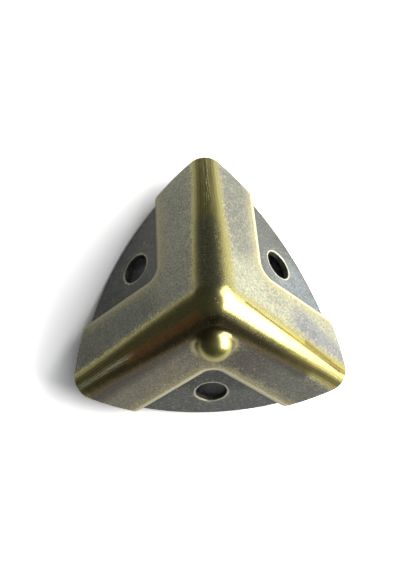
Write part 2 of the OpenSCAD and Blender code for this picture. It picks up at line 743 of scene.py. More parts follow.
    def panel_flat(self, skin: Skin) -> Patch:
        """Makes the flat of the panel, ruled from the hole's mouth to the panel's edge.

        Args:
            skin: Side of the sheet.

        Returns:
            The patch, with painted shade and dirt along the root of the step.
        """
        sizes, counts = self.sizes, self.counts
        edge_r = sizes.hole_mouth_r if skin is Skin.OUTER else sizes.hole_back_r
        mouth = sizes.hole_d / 2 + edge_r
        edge = self.panel_outline(skin)
        circle = at_depth(sizes.hole_offset + mouth * self.hole_directions(), edge[:, 2])
        points = ruled(circle, edge, eased(counts.panel))
        from_hole = np.linalg.norm(points[..., :2] - sizes.hole_offset, axis=-1) - mouth
        from_step = np.minimum(points[..., 0], points[..., 1]) - sizes.border - sizes.step_run
        wear, grime = fade(from_hole, self.hole_fade), fade(from_step, self.root_fade)
        return self.patch(skin, points, DOWN, wear=wear, grime=grime, sunk=1.0)

    def hole_wall(self) -> Patch:
        """Makes the inside of the hole, from its rolled mouth to its back edge.

        The section is a quarter turn of the mouth's radius, the straight wall, and a quarter turn
        of the back edge's small radius, carried round the hole's centre.

        Returns:
            The patch.
        """
        sizes, counts = self.sizes, self.counts
        radius = sizes.hole_d / 2
        roll = RIGHT_ANGLE * even(counts.mouth)
        back = RIGHT_ANGLE * even(counts.edge)
        mouth_out = radius + sizes.hole_mouth_r * (1 - np.sin(roll))
        mouth_down = sizes.recess + sizes.hole_mouth_r * (1 - np.cos(roll))
        back_out = radius + sizes.hole_back_r * (1 - np.cos(back))
        back_down = sizes.seat - sizes.hole_back_r * (1 - np.sin(back))
        out = np.concatenate([mouth_out, back_out])
        down = np.concatenate([mouth_down, back_down])
        tilt = np.concatenate([roll, RIGHT_ANGLE + back])
        heading = self.hole_directions()
        points = at_depth(sizes.hole_offset + out[:, None, None] * heading, down)
        normals = at_depth(-np.sin(tilt)[:, None, None] * heading, -np.cos(tilt))
        worn = per_row(self.mouth_wear * even(counts.mouth)[::-1], np.zeros_like(back))
        # Painted shade with dirt: dark down the hole's wall, growing over its mouth
        shade_in_hole = per_row(even(counts.mouth) ** 2, np.ones_like(back))
        return Patch(points, normals, marked(points.shape[:2], wear=worn, grime=shade_in_hole, sunk=1.0))

    def stud_edge(self, skin: Skin) -> Array:
        """Follows the edge of the flat round the ball stud.

        It runs from the ball corner along the ridge's line, across the border beside the panel's
        corner, and back along the border's line to the middle of the face.

        Args:
            skin: Side of the sheet.

        Returns:
            The edge's points, in order.
        """
        across = gridded(self.sizes.corner_centre, self.border_rows()[1:], self.inset(skin))
        border_line = self.step_rows(skin)[0][0, : self.counts.corner][::-1]
        return np.concatenate([self.ridge_line(skin), across, border_line])

    def stud_surround(self, skin: Skin) -> Patch:
        """Makes the flat round the ball stud, ruled from the flare to the edge of that flat.

        Args:
            skin: Side of the sheet.

        Returns:
            The patch.
        """
        sizes = self.sizes
        edge = self.stud_edge(skin)
        heading = unit(edge[:, :2] - sizes.ball_offset)
        circle = at_depth(sizes.ball_offset + sizes.flare_run * heading, edge[:, 2])
        points = ruled(circle, edge, eased(self.counts.border))
        from_flare = np.linalg.norm(points[..., :2] - sizes.ball_offset, axis=-1) - sizes.flare_run
        near = self.flare_foot * fade(from_flare, self.flare_fade)
        return self.border_flat(skin, points, near)

    def ball_stud(self, skin: Skin) -> Patch:
        """Makes the flare and the ball, a section carried round the ball's axis.

        The flare's arc turns up from the flat about a centre outside the metal, until it meets
        the ball at the slope where both circles touch. The ball's arc goes on to its top. Where
        the flare runs out over a ridge's foot, it sinks as far as the foot does there, and the
        two slopes add up. A painted highlight runs along the flare's middle, most on the side
        away from the corner: by four times the share of the way up times the rest of it, and by
        half of one plus the cosine of the way round.

        Args:
            skin: Side of the sheet.

        Returns:
            The patch.
        """
        sizes, counts = self.sizes, self.counts
        flare = sizes.ball_flare_r + self.inset(skin)
        ball = sizes.ball_d / 2 - self.inset(skin)
        steepest = math.asin(sizes.flare_run / (sizes.ball_d / 2 + sizes.ball_flare_r))
        rise = steepest * even(counts.flare)
        crown = steepest * even(counts.dome)[::-1][1:]
        out = np.concatenate([sizes.flare_run - flare * np.sin(rise), ball * np.sin(crown)])
        height = np.concatenate([sizes.ball_flare_r - flare * np.cos(rise), ball * np.cos(crown)])
        slope = np.concatenate([rise, crown])
        heading = unit(self.stud_edge(skin)[:, :2] - sizes.ball_offset)
        depth = self.inset(skin)
        flat = at_depth(sizes.ball_offset + out[:, None, None] * heading, depth)
        foot, normals = self.rolled(skin, flat, DOWN)
        points = foot + (height + depth)[:, None, None] * DOWN
        lean = np.tan(slope)[:, None, None] * heading
        normals = unit(normals / -normals[..., 2:] + at_depth(lean, 0.0))
        climb = even(counts.flare)
        dome = np.zeros_like(crown)
        polish = per_row(self.flare_foot + (1 - self.flare_foot) * climb, dome + 1)
        # Painted shade with dirt at the flare's foot, fading out up the flare
        grime = per_row(self.flare_foot * (1 - climb), dome)
        highlight_side = (1 + heading.sum(axis=-1) / math.sqrt(2)) / 2
        # Painted highlight: a pale ring along the flare, carried by the wear mark
        wear = self.flare_painted_highlight * per_row(4 * climb * (1 - climb), dome) * highlight_side
        return self.patch(skin, points, normals, polish=polish, grime=grime, wear=wear)

    def cut_edge(
        self, outer: Array, outer_normals: Array, inner: Array, inner_normals: Array
    ) -> Patch:
        """Closes the sheet along a stretch of its outline with a rounded edge.

        Each skin's end rolls over a quarter turn of the edge's radius, from the skin's normal to
        the direction straight out along the face, and a straight wall joins the two rolls.

        Args:
            outer: End points of the outer skin.
            outer_normals: Normals there.
            inner: End points of the inner skin.
            inner_normals: Normals there.

        Returns:
            The patch, worn pale all over.
        """
        radius = self.sizes.cut_edge_r
        roll = RIGHT_ANGLE * even(self.counts.edge)[:, None, None]
        out = unit(outer - np.sum(outer * outer_normals, axis=-1, keepdims=True) * outer_normals)
        outer_roll = np.cos(roll) * outer_normals + np.sin(roll) * out
        inner_roll = (np.cos(roll) * inner_normals + np.sin(roll) * out)[::-1]
        outer_points = outer - radius * outer_normals + radius * outer_roll
        inner_points = inner - radius * inner_normals + radius * inner_roll
        points = np.concatenate([outer_points, inner_points])
        normals = np.concatenate([outer_roll, inner_roll])
        return Patch(points, normals, marked(points.shape[:2], wear=self.cut_wear))


@dataclass
class WeldedMesh:
    """Patches gathered into one closed mesh."""

    places: list[Array] = field(default_factory=list)
    normals: list[Array] = field(default_factory=list)
    marks: dict[Mark, list[Array]] = field(default_factory=lambda: {mark: [] for mark in Mark})
    quads: list[Array] = field(default_factory=list)
    total: int = 0

    def add(self, patch: Patch) -> None:
        """Adds a patch, wound so that its faces look the way its normals do.

        Args:
            patch: The patch, in box coordinates.
        """
        rows, columns = patch.points.shape[:2]
        index = self.total + np.arange(rows * columns).reshape(rows, columns)
        quads = np.stack([index[:-1, :-1], index[:-1, 1:], index[1:, 1:], index[1:, :-1]], axis=-1)
        diagonal = patch.points[1:, 1:] - patch.points[:-1, :-1]
        other = patch.points[1:, :-1] - patch.points[:-1, 1:]
        looks = np.cross(diagonal, other) * patch.normals[:-1, :-1]
        if looks.sum() < 0:
            quads = quads[..., ::-1]
        self.places.append(patch.points.reshape(-1, 3))
        self.normals.append(patch.normals.reshape(-1, 3))
        for mark, shares in patch.marks.items():
            self.marks[mark].append(shares.reshape(-1))
        self.quads.append(quads.reshape(-1, 4))
        self.total += rows * columns

    def build(self, name: str, sizes: PressingSizes) -> bpy.types.Object:
        """Welds the patches where they meet and writes the mesh.

        Points that fall into one cell of a very fine lattice become one point, and a quad that
        loses a corner by that becomes a triangle.

        Args:
            name: Name of the new piece.
            sizes: Sizes of the pressing, for the depth of its seat.

        Returns:
            The piece, at the origin, unturned and unscaled.
        """
        places = np.concatenate(self.places)
        cells = np.round(places / WELD_STEP).astype(np.int64)
        _, kept, welded = np.unique(cells, axis=0, return_index=True, return_inverse=True)
        quads = welded.reshape(-1)[np.concatenate(self.quads)]
        repeats = quads == np.roll(quads, -1, axis=1)
        whole = quads[~repeats.any(axis=1)]
        pinched = repeats.sum(axis=1) == 1
        triangles = quads[pinched][~repeats[pinched]].reshape(-1, 3)
        turn = to_frame_axes()
        vertices = (places[kept] - sizes.seat) @ turn.T * MM
        mesh = bpy.data.meshes.new(name)
        fill_mesh(mesh, vertices, [whole, triangles])
        for mark, shares in self.marks.items():
            write_attribute(mesh, mark.value, np.concatenate(shares)[kept])
        normals = unit(np.concatenate(self.normals)[kept] @ turn.T)
        mesh.normals_split_custom_set_from_vertices(normals)
        return placed(name, mesh)


def fill_mesh(mesh: bpy.types.Mesh, vertices: Array, polygons: list[Array]) -> None:
    """Writes points and faces into a mesh with smooth shading.

    Args:
        mesh: Empty mesh.
        vertices: Places in metres, one row each.
        polygons: Arrays of faces, each with one row per face and one column per corner.
    """
    corners = np.concatenate([group.reshape(-1) for group in polygons]).astype(np.int32)
    sides = np.concatenate([np.full(len(group), group.shape[1]) for group in polygons])
    starts = (np.cumsum(sides) - sides).astype(np.int32)
    mesh.vertices.add(len(vertices))
    mesh.vertices.foreach_set("co", vertices.astype(np.float32).reshape(-1))
    mesh.loops.add(len(corners))
    mesh.loops.foreach_set("vertex_index", corners)
    mesh.polygons.add(len(sides))
    mesh.polygons.foreach_set("loop_start", starts)
    mesh.polygons.foreach_set("use_smooth", np.ones(len(sides), dtype=bool))
    mesh.update(calc_edges=True)
    mesh.validate()


def write_attribute(mesh: bpy.types.Mesh, name: str, values: Array) -> None:
    """Stores one number per point under a name that materials can read."""
    attribute = mesh.attributes.new(name, "FLOAT", "POINT")
    attribute.data.foreach_set("value", values.astype(np.float32))


def placed(name: str, data: bpy.types.ID) -> bpy.types.Object:
    """Puts a new object in the scene, at the origin.

    Args:
        name: Name of the object.
        data: Its mesh, lamp or camera.

    Returns:
        The object.
    """
    thing = bpy.data.objects.new(name, data)
    bpy.context.scene.collection.objects.link(thing)
    return thing


def open_edges(mesh: bpy.types.Mesh) -> int:
    """Counts the edges that don't have exactly two faces, which a closed mesh has none of.

    Args:
        mesh: The mesh.

    Returns:
        How many there are.
    """
    edges = np.empty(len(mesh.loops), dtype=np.int32)
    mesh.loops.foreach_get("edge_index", edges)
    return int(np.count_nonzero(np.bincount(edges, minlength=len(mesh.edges)) != 2))


@dataclass(frozen=True)
class Texture:
    """A noise: its waves in a millimetre, and how many finer layers it has and how strong."""

    per_mm: float
    detail: float
    roughness: float = 0.5

    @property
    def layers(self) -> dict[str, float]:
        """Values for the noise node's inputs of the same names."""
        return {"Detail": self.detail, "Roughness": self.roughness}


class NodeSheet:
    """Short calls for building the node tree of a material or a world."""

    # The mix node's sockets for a share and two colours, by number, because their names repeat
    MIX_SHARE, MIX_FIRST, MIX_SECOND, MIX_RESULT = 0, 6, 7, 2

    def __init__(self, owner: Shaded) -> None:
        """Starts an empty tree.

        Args:
            owner: The new material or world.
        """
        self.owner = owner
        self.owner.use_nodes = True
        self.tree = self.owner.node_tree
        self.tree.nodes.clear()

    def node(self, kind: str, inputs: dict[str | int, Feed], **settings: object) -> bpy.types.Node:
        """Makes a node.

        Args:
            kind: The node's type.
            inputs: Links and plain values for its inputs, by name or number.
            settings: Its plain properties.

        Returns:
            The node.
        """
        added = self.tree.nodes.new(kind)
        for key, value in settings.items():
            setattr(added, key, value)
        for key, value in inputs.items():
            self.feed(added.inputs[key], value)
        return added

    def feed(self, socket: Socket, value: Feed) -> None:
        """Gives an input its link or its value.

        Args:
            socket: The input.
            value: What it gets: a link, a plain value or a colour, which is made opaque.
        """
        if isinstance(value, bpy.types.NodeSocket):
            self.tree.links.new(value, socket)
        else:
            socket.default_value = (*value, 1.0) if socket.type == "RGBA" else value

    def finished(self, shader: bpy.types.Node, kind: str = "ShaderNodeOutputMaterial") -> Shaded:
        """Joins a shader to an output of that kind, and returns the material or world."""
        self.node(kind, {"Surface": shader.outputs[0]})
        return self.owner

    def math(self, operation: str, *values: Feed, clamp: bool = False) -> Socket:
        """Returns the result of a math node on links or plain numbers."""
        inputs = dict(enumerate(values))
        return self.node("ShaderNodeMath", inputs, operation=operation, use_clamp=clamp).outputs[0]

    def folded(self, operation: str, first: Feed, *others: Feed) -> Socket:
        """Joins values from left to right.

        Args:
            operation: The math operation between them.
            first: The first value.
            others: The values that follow it.

        Returns:
            The result.
        """
        for other in others:
            first = self.math(operation, first, other)
        return first

    def times(self, *shares: Feed) -> Socket:
        """Returns the product of shares."""
        return self.folded("MULTIPLY", *shares)

    def largest(self, *shares: Feed) -> Socket:
        """Returns the largest of shares."""
        return self.folded("MAXIMUM", *shares)

    def rest(self, share: Feed) -> Socket:
        """Returns 1 less a share."""
        return self.math("SUBTRACT", 1.0, share)

    def vector(self, operation: str, *values: Feed) -> Socket:
        """Makes a vector math node.

        Args:
            operation: What it works out.
            values: Links and plain values for its inputs, in order.

        Returns:
            The result: a number where the operation gives one, and otherwise a vector.
        """
        added = self.node("ShaderNodeVectorMath", dict(enumerate(values)), operation=operation)
        number = operation in {"DISTANCE", "DOT_PRODUCT", "LENGTH"}
        return added.outputs["Value" if number else "Vector"]

    def swing(self, value: Feed, noise: Socket, width: float) -> Socket:
        """Returns value moved up or down by a noise about its middle, over a width."""
        return self.math("MULTIPLY_ADD", self.math("SUBTRACT", noise, 0.5), width, value)

    def spread(
        self, value: Feed, low: float, high: float, to_low: float = 0.0, to_high: float = 1.0
    ) -> Socket:
        """Returns value carried smoothly from one range to another, and held at its ends."""
        inputs = dict(enumerate((value, low, high, to_low, to_high)))
        return self.node("ShaderNodeMapRange", inputs, interpolation_type="SMOOTHSTEP").outputs[0]

    def noise(self, place: Socket, texture: Texture) -> Socket:
        """Returns a noise from 0 to 1 over the place on the piece."""
        inputs = {"Vector": place, "Scale": texture.per_mm / MM, **texture.layers}
        return self.node("ShaderNodeTexNoise", inputs, noise_dimensions="3D").outputs["Fac"]

    def lines(self, way: Socket, texture: Texture) -> Socket:
        """Returns a noise from 0 to 1 that changes only with a number in millimetres."""
        inputs = {"W": way, "Scale": texture.per_mm, **texture.layers}
        return self.node("ShaderNodeTexNoise", inputs, noise_dimensions="1D").outputs["Fac"]

    def mixed(self, way: str, share: Feed, first: Feed, second: Feed) -> Socket:
        """Mixes two colours.

        Args:
            way: One of the mix node's ways.
            share: How far the second colour counts.
            first: The first colour.
            second: The second colour.

        Returns:
            The mixed colour.
        """
        inputs = {self.MIX_SHARE: share, self.MIX_FIRST: first, self.MIX_SECOND: second}
        added = self.node("ShaderNodeMix", inputs, data_type="RGBA", blend_type=way)
        return added.outputs[self.MIX_RESULT]

    def blend(self, share: Feed, first: Feed, second: Feed) -> Socket:
        """Returns a colour between two, by share."""
        return self.mixed("MIX", share, first, second)

    def stain(self, share: Feed, colour: Feed, tint: Colour) -> Socket:
        """Returns a colour multiplied by a tint, by share."""
        return self.mixed("MULTIPLY", share, colour, tint)

    def attribute(self, mark: Mark) -> Socket:
        """Returns one of the piece's own marks."""
        return self.node("ShaderNodeAttribute", {}, attribute_name=mark.value).outputs["Fac"]

    def object_place(self) -> Socket:
        """Returns the place on the piece."""
        return self.node("ShaderNodeTexCoord", {}).outputs["Object"]


class Noise(Enum):
    """The noises that break up the finish. The last two change only round a ridge."""

    CLOUD = "cloud"
    BLOTCH = "blotch"
    GRAIN = "grain"
    SPARK = "spark"
    LINES = "lines"
    STREAKS = "streaks"


Breaks = tuple[tuple[Noise, float], ...]


@dataclass(frozen=True)
class Grade:
    """How a share is broken up by noises and then carried smoothly to another range.

    Attributes:
        low: Share at which the change starts.
        high: Share at which it ends, which may be the lower of the two.
        to_low: Result at the start and before it.
        to_high: Result at the end and past it.
        breaks: Noises that first move the share up or down, each with its width.
    """

    low: float
    high: float
    to_low: float = 0.0
    to_high: float = 1.0
    breaks: Breaks = ()


@dataclass(frozen=True)
class Spot:
    """A round spot, in millimetres."""

    middle: Place
    reach: float


@dataclass(frozen=True)
class Smear:
    """A stained strip round the straight line between two places, in millimetres."""

    start: Place
    end: Place
    reach: float
    tint: Colour


@dataclass(frozen=True)
class AntiqueBrass:
    """Brass plate that was darkened and then rubbed bright on everything that stands out."""

    # Rubbed metal; the dark finish with its pale clouds, its grains and the tint of the panels
    bright: Colour = (0.60, 0.54, 0.18)
    dark: Colour = (0.335, 0.345, 0.24)
    pale: Colour = (0.60, 0.62, 0.45)
    fleck: Colour = (0.84, 0.80, 0.58)
    pit: Colour = (0.45, 0.45, 0.45)
    slate: Colour = (0.35, 0.37, 0.47)
    # Worn edges, rims in the panels, what lies beside an edge or bright metal, lines, and the
    # dark of painted shade with dirt
    worn: Colour = (0.88, 0.82, 0.52)
    rim: Colour = (0.96, 0.96, 0.86)
    blush: Colour = (0.56, 0.49, 0.24)
    gilt: Colour = (0.66, 0.60, 0.34)
    streak: Colour = (0.62, 0.58, 0.55)
    shade_and_dirt_tone: Colour = (0.06, 0.055, 0.045)

    # Noises, and how far the two that run round a ridge wander
    cloud: Texture = Texture(0.13, 3.0)
    blotch: Texture = Texture(0.9, 4.0, 0.6)
    grain: Texture = Texture(2.8, 2.0, 0.6)
    spark: Texture = Texture(3.6, 1.0)
    lines: Texture = Texture(6.0, 2.0)
    streaks: Texture = Texture(2.2, 2.0)
    lines_wander: Breaks = ((Noise.BLOTCH, 0.3),)
    streaks_wander: Breaks = ((Noise.BLOTCH, 0.4),)

    # Rubbed and worn shares of the surface
    polish_breaks: Breaks = ((Noise.GRAIN, 0.9), (Noise.BLOTCH, 0.6))
    wear_breaks: Breaks = ((Noise.GRAIN, 0.6), (Noise.BLOTCH, 0.4))
    shining: Grade = Grade(0.1, 0.65)
    edging: Grade = Grade(0.5, 0.9)
    blushing: Grade = Grade(0.08, 0.45, 0.0, 0.85)

    # Pale line along the crests, from some way up a ridge, and strongest where it was knocked
    knocked: Spot = Spot((-17.0, -13.0, -16.0), 16.0)
    knocking: Grade = Grade(0.0, 0.4, 0.2, 1.0)
    crest_start: Grade = Grade(0.0, 0.7)
    cresting: Grade = Grade(0.42, 0.84, breaks=((Noise.SPARK, 0.9), (Noise.LINES, 1.6)))

    # Gold and pale sparks on the dark finish beside bright or worn metal
    near_worn: Grade = Grade(0.0, 0.6)
    near_bright: Grade = Grade(0.0, 0.5)
    off_bright: Grade = Grade(0.9, 0.4)
    gilding: float = 0.4
    spark_grains: Grade = Grade(0.54, 0.66)
    sparking: Grade = Grade(0.0, 1.0, 0.1, 0.8)

    # Clouds and grains of the dark finish
    middle_tone: float = 0.5
    toning: Grade = Grade(0.15, 0.85, breaks=((Noise.CLOUD, 0.7), (Noise.BLOTCH, 0.8)))
    flecking: Grade = Grade(0.5, 0.68, 0.0, 0.6)
    pitting: Grade = Grade(0.5, 0.34, 0.0, 0.6)

    # Dark streaks on the bright metal towards the ridges' ends, and painted shade with dirt in the
    # corners
    streaking: Grade = Grade(0.55, 0.4)
    shade_and_dirt_breakup: Grade = Grade(0.2, 0.7, 0.4, 0.9)
    shade_and_dirt: float = 0.7

    # Brown burnt metal near the corner, and a yellower end of the right-hand ridge
    burnt: Smear = Smear((-2.8, -2.4, -1.1), (-13.4, -8.2, -9.7), 2.1, (0.72, 0.36, 0.11))
    burning: Grade = Grade(0.1, 1.0, breaks=((Noise.BLOTCH, 0.9), (Noise.LINES, 0.9)))
    browning: float = 0.9
    yellowed: Smear = Smear((12.0, -5.5, -8.0), (22.0, -12.5, -16.0), 4.0, (0.94, 0.92, 0.72))
    yellowing: Grade = Grade(0.0, 0.8, breaks=((Noise.BLOTCH, 0.6),))

    # Painted shade: dark reflections at the feet of the two lower ridges, and a bluish dark
    # reflection painted on the upper one
    painted_dark_reflections: tuple[Smear, ...] = (
        Smear((-1.5, -3.7, -1.8), (-18.7, -13.7, -16.0), 4.2, (0.24, 0.19, 0.13)),
        Smear((0.3, -2.9, -1.0), (14.4, -11.1, -12.6), 2.6, (0.32, 0.27, 0.21)),
    )
    bluish_painted_reflection: Smear = Smear((-0.6, 2.2, -1.2), (-0.6, 12.4, -7.9), 3.8, (0.60, 0.68, 0.76))
    painted_reflection_fading: Grade = Grade(0.1, 1.0, breaks=((Noise.BLOTCH, 0.5),))

    # Patches of painted shade with smoky tone on the dark finish, painted light and shade on the
    # panels, and dark reflection lines painted along a ridge
    shade_and_smoke: tuple[Smear, ...] = (
        Smear((6.0, -9.5, -9.0), (16.0, -15.0, -18.0), 8.0, (0.42, 0.41, 0.42)),
        Smear((4.5, 12.0, -9.0), (5.0, 21.0, -16.0), 8.0, (0.60, 0.60, 0.66)),
        Smear((-12.0, -2.0, -10.0), (-19.0, -7.0, -17.0), 9.0, (0.52, 0.53, 0.50)),
        Smear((-16.0, -13.0, -16.0), (4.0, -9.0, -8.0), 11.0, (0.68, 0.60, 0.55)),
        Smear((15.0, -4.0, -12.6), (20.0, -9.0, -15.5), 5.5, (0.62, 0.62, 0.86)),
    )
    shade_and_smoke_fading: Grade = Grade(0.0, 0.8, breaks=((Noise.BLOTCH, 0.4), (Noise.CLOUD, 0.8)))
    # Painted light and shade: right panel lit brighter, front one darker at top, left one low
    panel_light_and_shade: tuple[Smear, ...] = (
        Smear((14.0, 4.0, -18.0), (17.0, -1.0, -18.5), 9.0, (1.75, 1.86, 2.2)),
        Smear((-2.0, -12.2, -15.5), (4.5, -12.2, -15.5), 4.5, (0.38, 0.41, 0.39)),
        Smear((-13.0, 3.3, -16.5), (-19.0, -3.0, -19.5), 7.0, (0.58, 0.61, 0.50)),
    )
    panel_light_and_shade_fading: Grade = Grade(0.0, 0.8, breaks=((Noise.CLOUD, 0.4),))
    # Painted dark reflection lines along the right-hand ridge, beside its highlight
    painted_dark_lines: tuple[Smear, ...] = (
        Smear((4.8, -0.2, -2.5), (21.1, -11.3, -15.2), 0.5, (0.40, 0.34, 0.09)),
        Smear((15.0, -6.4, -10.5), (22.0, -11.6, -15.8), 1.1, (0.48, 0.41, 0.12)),
    )
    painted_dark_line_fading: Grade = Grade(0.45, 0.9, breaks=((Noise.LINES, 1.2), (Noise.SPARK, 0.9)))

    # Roughness of the dark and the bright metal, and what spots and shares add to it
    dark_roughness: float = 0.57
    dark_breaks: Breaks = ((Noise.GRAIN, 0.25),)
    bright_roughness: float = 0.27
    bright_breaks: Breaks = ((Noise.BLOTCH, 0.1),)
    dulled: Spot = Spot((0.0, -7.0, -4.5), 5.5)
    dulled_roughness: float = 0.12
    matt_tip: float = 0.3
    matt_roughness: float = 0.24
    crest_roughness: float = 0.25

    # How much less like metal worn edges, matt metal and the crests' pale line look
    edge_chalk: float = 0.5
    matt_chalk: float = 0.09
    crest_chalk: float = 0.9

    # Clear coat, thinner on bare bright metal
    coating: Grade = Grade(0.0, 1.0, 1.0, 0.45)
    coat_ior: float = 1.65
    coat_roughness: float = 0.4

    # The sheet's faint waves, and the grain of the dark finish, in millimetres
    waves: Texture = Texture(0.35, 2.0)
    wave_strength: float = 0.3
    wave_height: float = 0.08
    grain_strength: Grade = Grade(0.0, 1.0, 0.45, 0.04)
    grain_height: float = 0.03

    def material(self) -> bpy.types.Material:
        """Returns the finish as a material."""
        return BrassPainter(self).material()


class BrassPainter:
    """The nodes of the antique brass: marks and noises of the surface, and the layers over them."""

    def __init__(self, finish: AntiqueBrass) -> None:
        """Works out the shares that several layers read.

        The rubbed and the worn share of each point are moved up or down by a fine and a broad
        noise, so that the bright metal breaks up into grains where it meets the dark finish.

        Args:
            finish: Values of the finish.
        """
        self.finish = finish
        self.sheet = sheet = NodeSheet(bpy.data.materials.new("antique_brass"))
        self.place = sheet.object_place()
        self.marks = {mark: sheet.attribute(mark) for mark in Mark}
        self.noises = {
            Noise.CLOUD: sheet.noise(self.place, finish.cloud),
            Noise.BLOTCH: sheet.noise(self.place, finish.blotch),
            Noise.GRAIN: sheet.noise(self.place, finish.grain),
            Noise.SPARK: sheet.noise(self.place, finish.spark),
        }
        self.noises[Noise.LINES] = self.round_ridge(finish.lines, finish.lines_wander)
        self.noises[Noise.STREAKS] = self.round_ridge(finish.streaks, finish.streaks_wander)
        self.polish = self.broken(self.marks[Mark.POLISH], finish.polish_breaks)
        self.wear = self.broken(self.marks[Mark.WEAR], finish.wear_breaks)
        self.shine = self.graded(self.polish, finish.shining)
        self.edge = self.graded(self.wear, finish.edging)
        self.crest = self.crest_share()
        self.pale = sheet.largest(self.edge, self.crest)
        self.burnt = self.smeared(finish.burnt, finish.burning)
        self.matt = sheet.largest(self.burnt, sheet.times(self.marks[Mark.TIP], finish.matt_tip))
        # Painted dark reflections on the ridges, with their ragged edges
        smears = (*finish.painted_dark_reflections, finish.bluish_painted_reflection)
        self.painted_dark_reflections = {smear: self.smeared(smear, finish.painted_reflection_fading) for smear in smears}

    def material(self) -> bpy.types.Material:
        """Joins the layers to the shader.

        Returns:
            The material.
        """
        layers = {
            "Base Color": self.colour(),
            "Metallic": self.metallic(),
            "Roughness": self.roughness(),
            "Normal": self.relief(),
            "Coat Weight": self.coat(),
            "Coat IOR": self.finish.coat_ior,
            "Coat Roughness": self.finish.coat_roughness,
        }
        return self.sheet.finished(self.sheet.node("ShaderNodeBsdfPrincipled", layers))

    def round_ridge(self, texture: Texture, wander: Breaks) -> Socket:
        """Returns a noise that changes only round a ridge, along lines that wander."""
        return self.sheet.lines(self.broken(self.marks[Mark.TURN], wander), texture)

    def broken(self, share: Feed, breaks: Breaks) -> Feed:
        """Breaks up a share by noises.

        Args:
            share: The share.
            breaks: Noises that move it up or down, each with its width.

        Returns:
            The broken share, or the share itself where there is no noise.
        """
        for noise, width in breaks:
            share = self.sheet.swing(share, self.noises[noise], width)
        return share

    def graded(self, share: Feed, grade: Grade) -> Socket:
        """Returns a share broken up by the grade's noises and carried to its range."""
        share = self.broken(share, grade.breaks)
        return self.sheet.spread(share, grade.low, grade.high, grade.to_low, grade.to_high)

    def near(self, spot: Spot) -> Socket:
        """Returns 1 in the middle of a spot, falling off to 0 at its reach."""
        apart = self.sheet.vector("DISTANCE", self.place, in_metres(spot.middle))
        return self.sheet.spread(apart, spot.reach * MM, 0.0)

    def beside(self, smear: Smear) -> Socket:
        """Measures a smear: 1 along its line, falling off to 0 at its reach.

        The nearest place on the line is its start plus its direction times the share of the way,
        which is held between the two ends.

        Args:
            smear: The line and its reach.

        Returns:
            The share.
        """
        sheet = self.sheet
        way = Vector(smear.end) - Vector(smear.start)
        from_start = sheet.vector("SUBTRACT", self.place, in_metres(smear.start))
        passed = sheet.vector("DOT_PRODUCT", from_start, tuple(way.normalized()))
        share = sheet.math("DIVIDE", passed, way.length * MM, clamp=True)
        nearest = sheet.vector("MULTIPLY", in_metres(way), share)
        apart = sheet.vector("DISTANCE", from_start, nearest)
        return sheet.spread(apart, smear.reach * MM, 0.0)

    def smeared(self, smear: Smear, fading: Grade) -> Socket:
        """Returns how far a smear covers each place, once its ragged edge is faded out."""
        return self.graded(self.beside(smear), fading)

    def stained(self, colour: Feed, smears: tuple[Smear, ...], fading: Grade) -> Socket:
        """Lays smears over a colour, one after the other.

        Args:
            colour: The colour under them.
            smears: The smears.
            fading: How their ragged edges fade out.

        Returns:
            The stained colour.
        """
        for smear in smears:
            colour = self.sheet.stain(self.smeared(smear, fading), colour, smear.tint)
        return colour

    def crest_share(self) -> Socket:
        """Works out the pale line along the ridges' top lines.

        It is the crest times the way to the ridge's end times how badly it was knocked, broken up
        into scratches by sparks and lines.

        Returns:
            The share.
        """
        finish = self.finish
        tip = self.graded(self.marks[Mark.TIP], finish.crest_start)
        knocked = self.graded(self.near(finish.knocked), finish.knocking)
        whole = self.sheet.times(self.marks[Mark.CREST], tip, knocked)
        return self.graded(whole, finish.cresting)

    def beside_bright(self) -> Socket:
        """Works out where the dark finish lies beside bright or worn metal, off the painted shade.

        Returns:
            The share.
        """
        finish = self.finish
        near = self.sheet.largest(
            self.graded(self.wear, finish.near_worn), self.graded(self.polish, finish.near_bright)
        )
        unshaded = (self.sheet.rest(share) for share in self.painted_dark_reflections.values())
        return self.sheet.times(near, self.graded(self.polish, finish.off_bright), *unshaded)

    def patina(self) -> Socket:
        """Colours the dark finish: clouds, grains, greyer panels, painted light, shade and smoke.

        Returns:
            The colour.
        """
        sheet, finish = self.sheet, self.finish
        grain, sunk = self.noises[Noise.GRAIN], self.marks[Mark.SUNK]
        tone = self.graded(finish.middle_tone, finish.toning)
        colour = sheet.blend(tone, finish.dark, finish.pale)
        colour = sheet.blend(self.graded(grain, finish.flecking), colour, finish.fleck)
        colour = sheet.stain(self.graded(grain, finish.pitting), colour, finish.pit)
        colour = sheet.stain(sunk, colour, finish.slate)
        # Painted light and shade on each panel
        for smear in finish.panel_light_and_shade:
            share = sheet.times(sunk, self.smeared(smear, finish.panel_light_and_shade_fading))
            colour = sheet.stain(share, colour, smear.tint)
        # Patches of painted shade, partly smoky tone, over the dark finish
        return self.stained(colour, finish.shade_and_smoke, finish.shade_and_smoke_fading)

    def metal(self) -> Socket:
        """Colours the bright metal: brown in one strip, yellower in one, streaked at the ends.

        Returns:
            The colour.
        """
        sheet, finish = self.sheet, self.finish
        browned = sheet.times(self.burnt, finish.browning)
        colour = sheet.blend(browned, finish.bright, finish.burnt.tint)
        colour = self.stained(colour, (finish.yellowed,), finish.yellowing)
        streaks = self.graded(self.noises[Noise.STREAKS], finish.streaking)
        return sheet.stain(sheet.times(streaks, self.marks[Mark.TIP]), colour, finish.streak)

    def colour(self) -> Socket:
        """Lays the colours over each other, from the dark finish up to the painted shade and dirt.

        Returns:
            The colour.
        """
        sheet, finish = self.sheet, self.finish
        beside = self.beside_bright()
        patina = sheet.blend(sheet.times(beside, finish.gilding), self.patina(), finish.gilt)
        colour = sheet.blend(self.shine, patina, self.metal())
